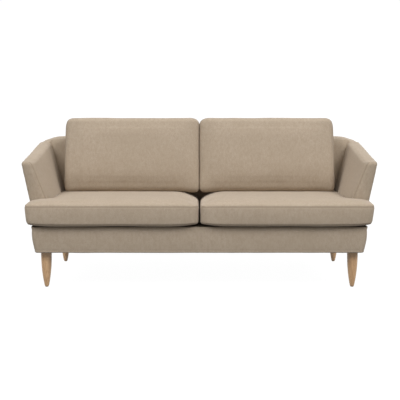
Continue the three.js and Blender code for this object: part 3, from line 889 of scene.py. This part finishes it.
def zip_chain():
    """Two strips of tape with interlocking teeth between them, along X, with +Z out of the cushion."""
    length, middle = ZIP_END - ZIP_START, (ZIP_START + ZIP_END) / 2
    parts = [rounded_box((length, 0.0034, 0.0010), (middle, side * 0.0023, -0.0018)) for side in (-1, 1)]
    for i in range(int(length / TOOTH_PITCH)):
        side = 1 if i % 2 else -1
        centre = (ZIP_START + (i + 0.5) * TOOTH_PITCH, side * 0.0004, -0.0014)
        parts.append(rounded_box((0.0014, 0.0022, 0.0018), centre, 0.0003))
    return joined("zip_chain", parts)


def zip_slider():
    """A slider on the start of the zip, with a bridge and a flat pull that lies along the tape."""
    x = ZIP_START + 0.007
    parts = [
        rounded_box((0.0090, 0.0078, 0.0012), (x, 0, 0.0010)),
        rounded_box((0.0050, 0.0022, 0.0022), (x - 0.0005, 0, 0.0024)),
        rounded_box((0.0016, 0.0036, 0.0010), (x + 0.0022, 0, 0.0038)),
        rounded_box((0.0100, 0.0044, 0.0010), (x + 0.0016, 0, 0.0047)),
    ]
    return joined("zip_slider", parts)


def make_zips():
    seat_place = Matrix.Translation((0, SEAT_REAR, SEAT_ZIP_Z)) @ Matrix.Rotation(-math.pi / 2, 4, "X")
    back_place = (TO_RECLINED.inverted() @ Matrix.Translation((0, BACK_ZIP_UP, 0))
                  @ Matrix.Rotation(math.pi, 4, "X"))
    for kind, where in (("seat", seat_place), ("back", back_place)):
        chain, slider = zip_chain(), zip_slider()
        chain.transform(where)
        slider.transform(where)
        for hand, side in HANDS.items():
            cushion = f"{kind}_cushion_{hand}"
            tape = show(mirrored(chain, side), f"{kind}_zip_{hand}", FINISHES["zip"], cushion)
            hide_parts(f"{cushion}_zip_chain")
            pull = show(mirrored(slider, side), f"{kind}_zip_pull_{hand}", FINISHES["steel"],
                        f"{kind}_zip_slider_{hand}")
            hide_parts(f"{cushion}_zip_slider")


# ---------------------------------------------------------------- stage

def make_stage():
    floor = new_mesh("floor", [(-40, -40, 0), (40, -40, 0), (40, 40, 0), (-40, 40, 0)], [(0, 1, 2, 3)])
    mat, tree, shader = material("pale_floor", 0.9)
    tree.links.new(between(tree, cloud(tree, 2.0), 0.3, 0.7, (0.06, 0.06, 0.06, 1), (0.07, 0.07, 0.07, 1)),
                   shader.inputs["Base Color"])
    shader.inputs["Specular IOR Level"].default_value = 0.0
    shader.inputs["Emission Color"].default_value = (1, 1, 1, 1)
    shader.inputs["Emission Strength"].default_value = 0.98
    floor.materials.append(mat)
    ground = bpy.data.objects.new("floor", floor)
    bpy.context.collection.objects.link(ground)
    ground.visible_diffuse = False

    bpy.ops.mesh.primitive_uv_sphere_add(segments=48, ring_count=24, radius=35, location=(0, 0, 0))
    sky = bpy.context.object
    sky.name = "backdrop"
    glow = bpy.data.materials.new("white_backdrop")
    glow.use_nodes = True
    glow.node_tree.nodes.clear()
    light = add(glow.node_tree, "ShaderNodeEmission", {"Color": (1, 1, 1, 1), "Strength": 1.02})
    out = add(glow.node_tree, "ShaderNodeOutputMaterial")
    glow.node_tree.links.new(light.outputs[0], out.inputs["Surface"])
    sky.data.materials.append(glow)
    sky.visible_diffuse = sky.visible_glossy = sky.visible_shadow = sky.visible_transmission = False


SKY_LIGHT, GROUND_LIGHT = 0.54, 0.22
KEY_LIGHTS = {"key": (1.96, (0.56, -0.41, 0.71)), "fill": (1.66, (-0.56, -0.41, 0.71)),
              "rear": (0.75, (0.25, 0.95, 0.18))}
KEY_SPREAD = math.radians(32)


def make_lights():
    """A pale sky that is brightest overhead and dim below, with broad lights from the upper left and,
    a little stronger, the upper right, and a weak low one from behind."""
    world = bpy.data.worlds.new("studio")
    bpy.context.scene.world = world
    world.use_nodes = True
    tree = world.node_tree
    direction = add(tree, "ShaderNodeTexCoord").outputs["Generated"]
    height = add(tree, "ShaderNodeSeparateXYZ", {"Vector": direction}).outputs["Z"]
    level = add(tree, "ShaderNodeMapRange", {"Value": height, "From Min": -0.25, "From Max": 0.9,
                                             "To Min": GROUND_LIGHT, "To Max": SKY_LIGHT}).outputs[0]
    tree.links.new(level, tree.nodes["Background"].inputs["Strength"])
    tree.nodes["Background"].inputs["Color"].default_value = (1.0, 0.99, 0.98, 1)
    for name, (power, towards) in KEY_LIGHTS.items():
        light = bpy.data.lights.new(name, "SUN")
        light.energy = power
        light.angle = KEY_SPREAD
        lamp = bpy.data.objects.new(name, light)
        bpy.context.collection.objects.link(lamp)
        lamp.rotation_euler = Vector(towards).to_track_quat("Z", "Y").to_euler()


def make_camera():
    cam = bpy.data.cameras.new("camera")
    cam.lens = 75.2
    cam.sensor_width = 36
    cam.shift_y = -0.12
    obj = bpy.data.objects.new("camera", cam)
    bpy.context.collection.objects.link(obj)
    obj.location = (0.003, -4.594, 1.066)
    obj.rotation_euler = (math.radians(90 - 4.93), 0, 0)
    bpy.context.scene.camera = obj


bpy.context.scene.view_settings.view_transform = "Standard"
make_arms()
make_back()
make_apron()
make_deck()
make_dust_cover()
make_legs()
make_cushions()
make_zips()
make_stage()
make_lights()
make_camera()
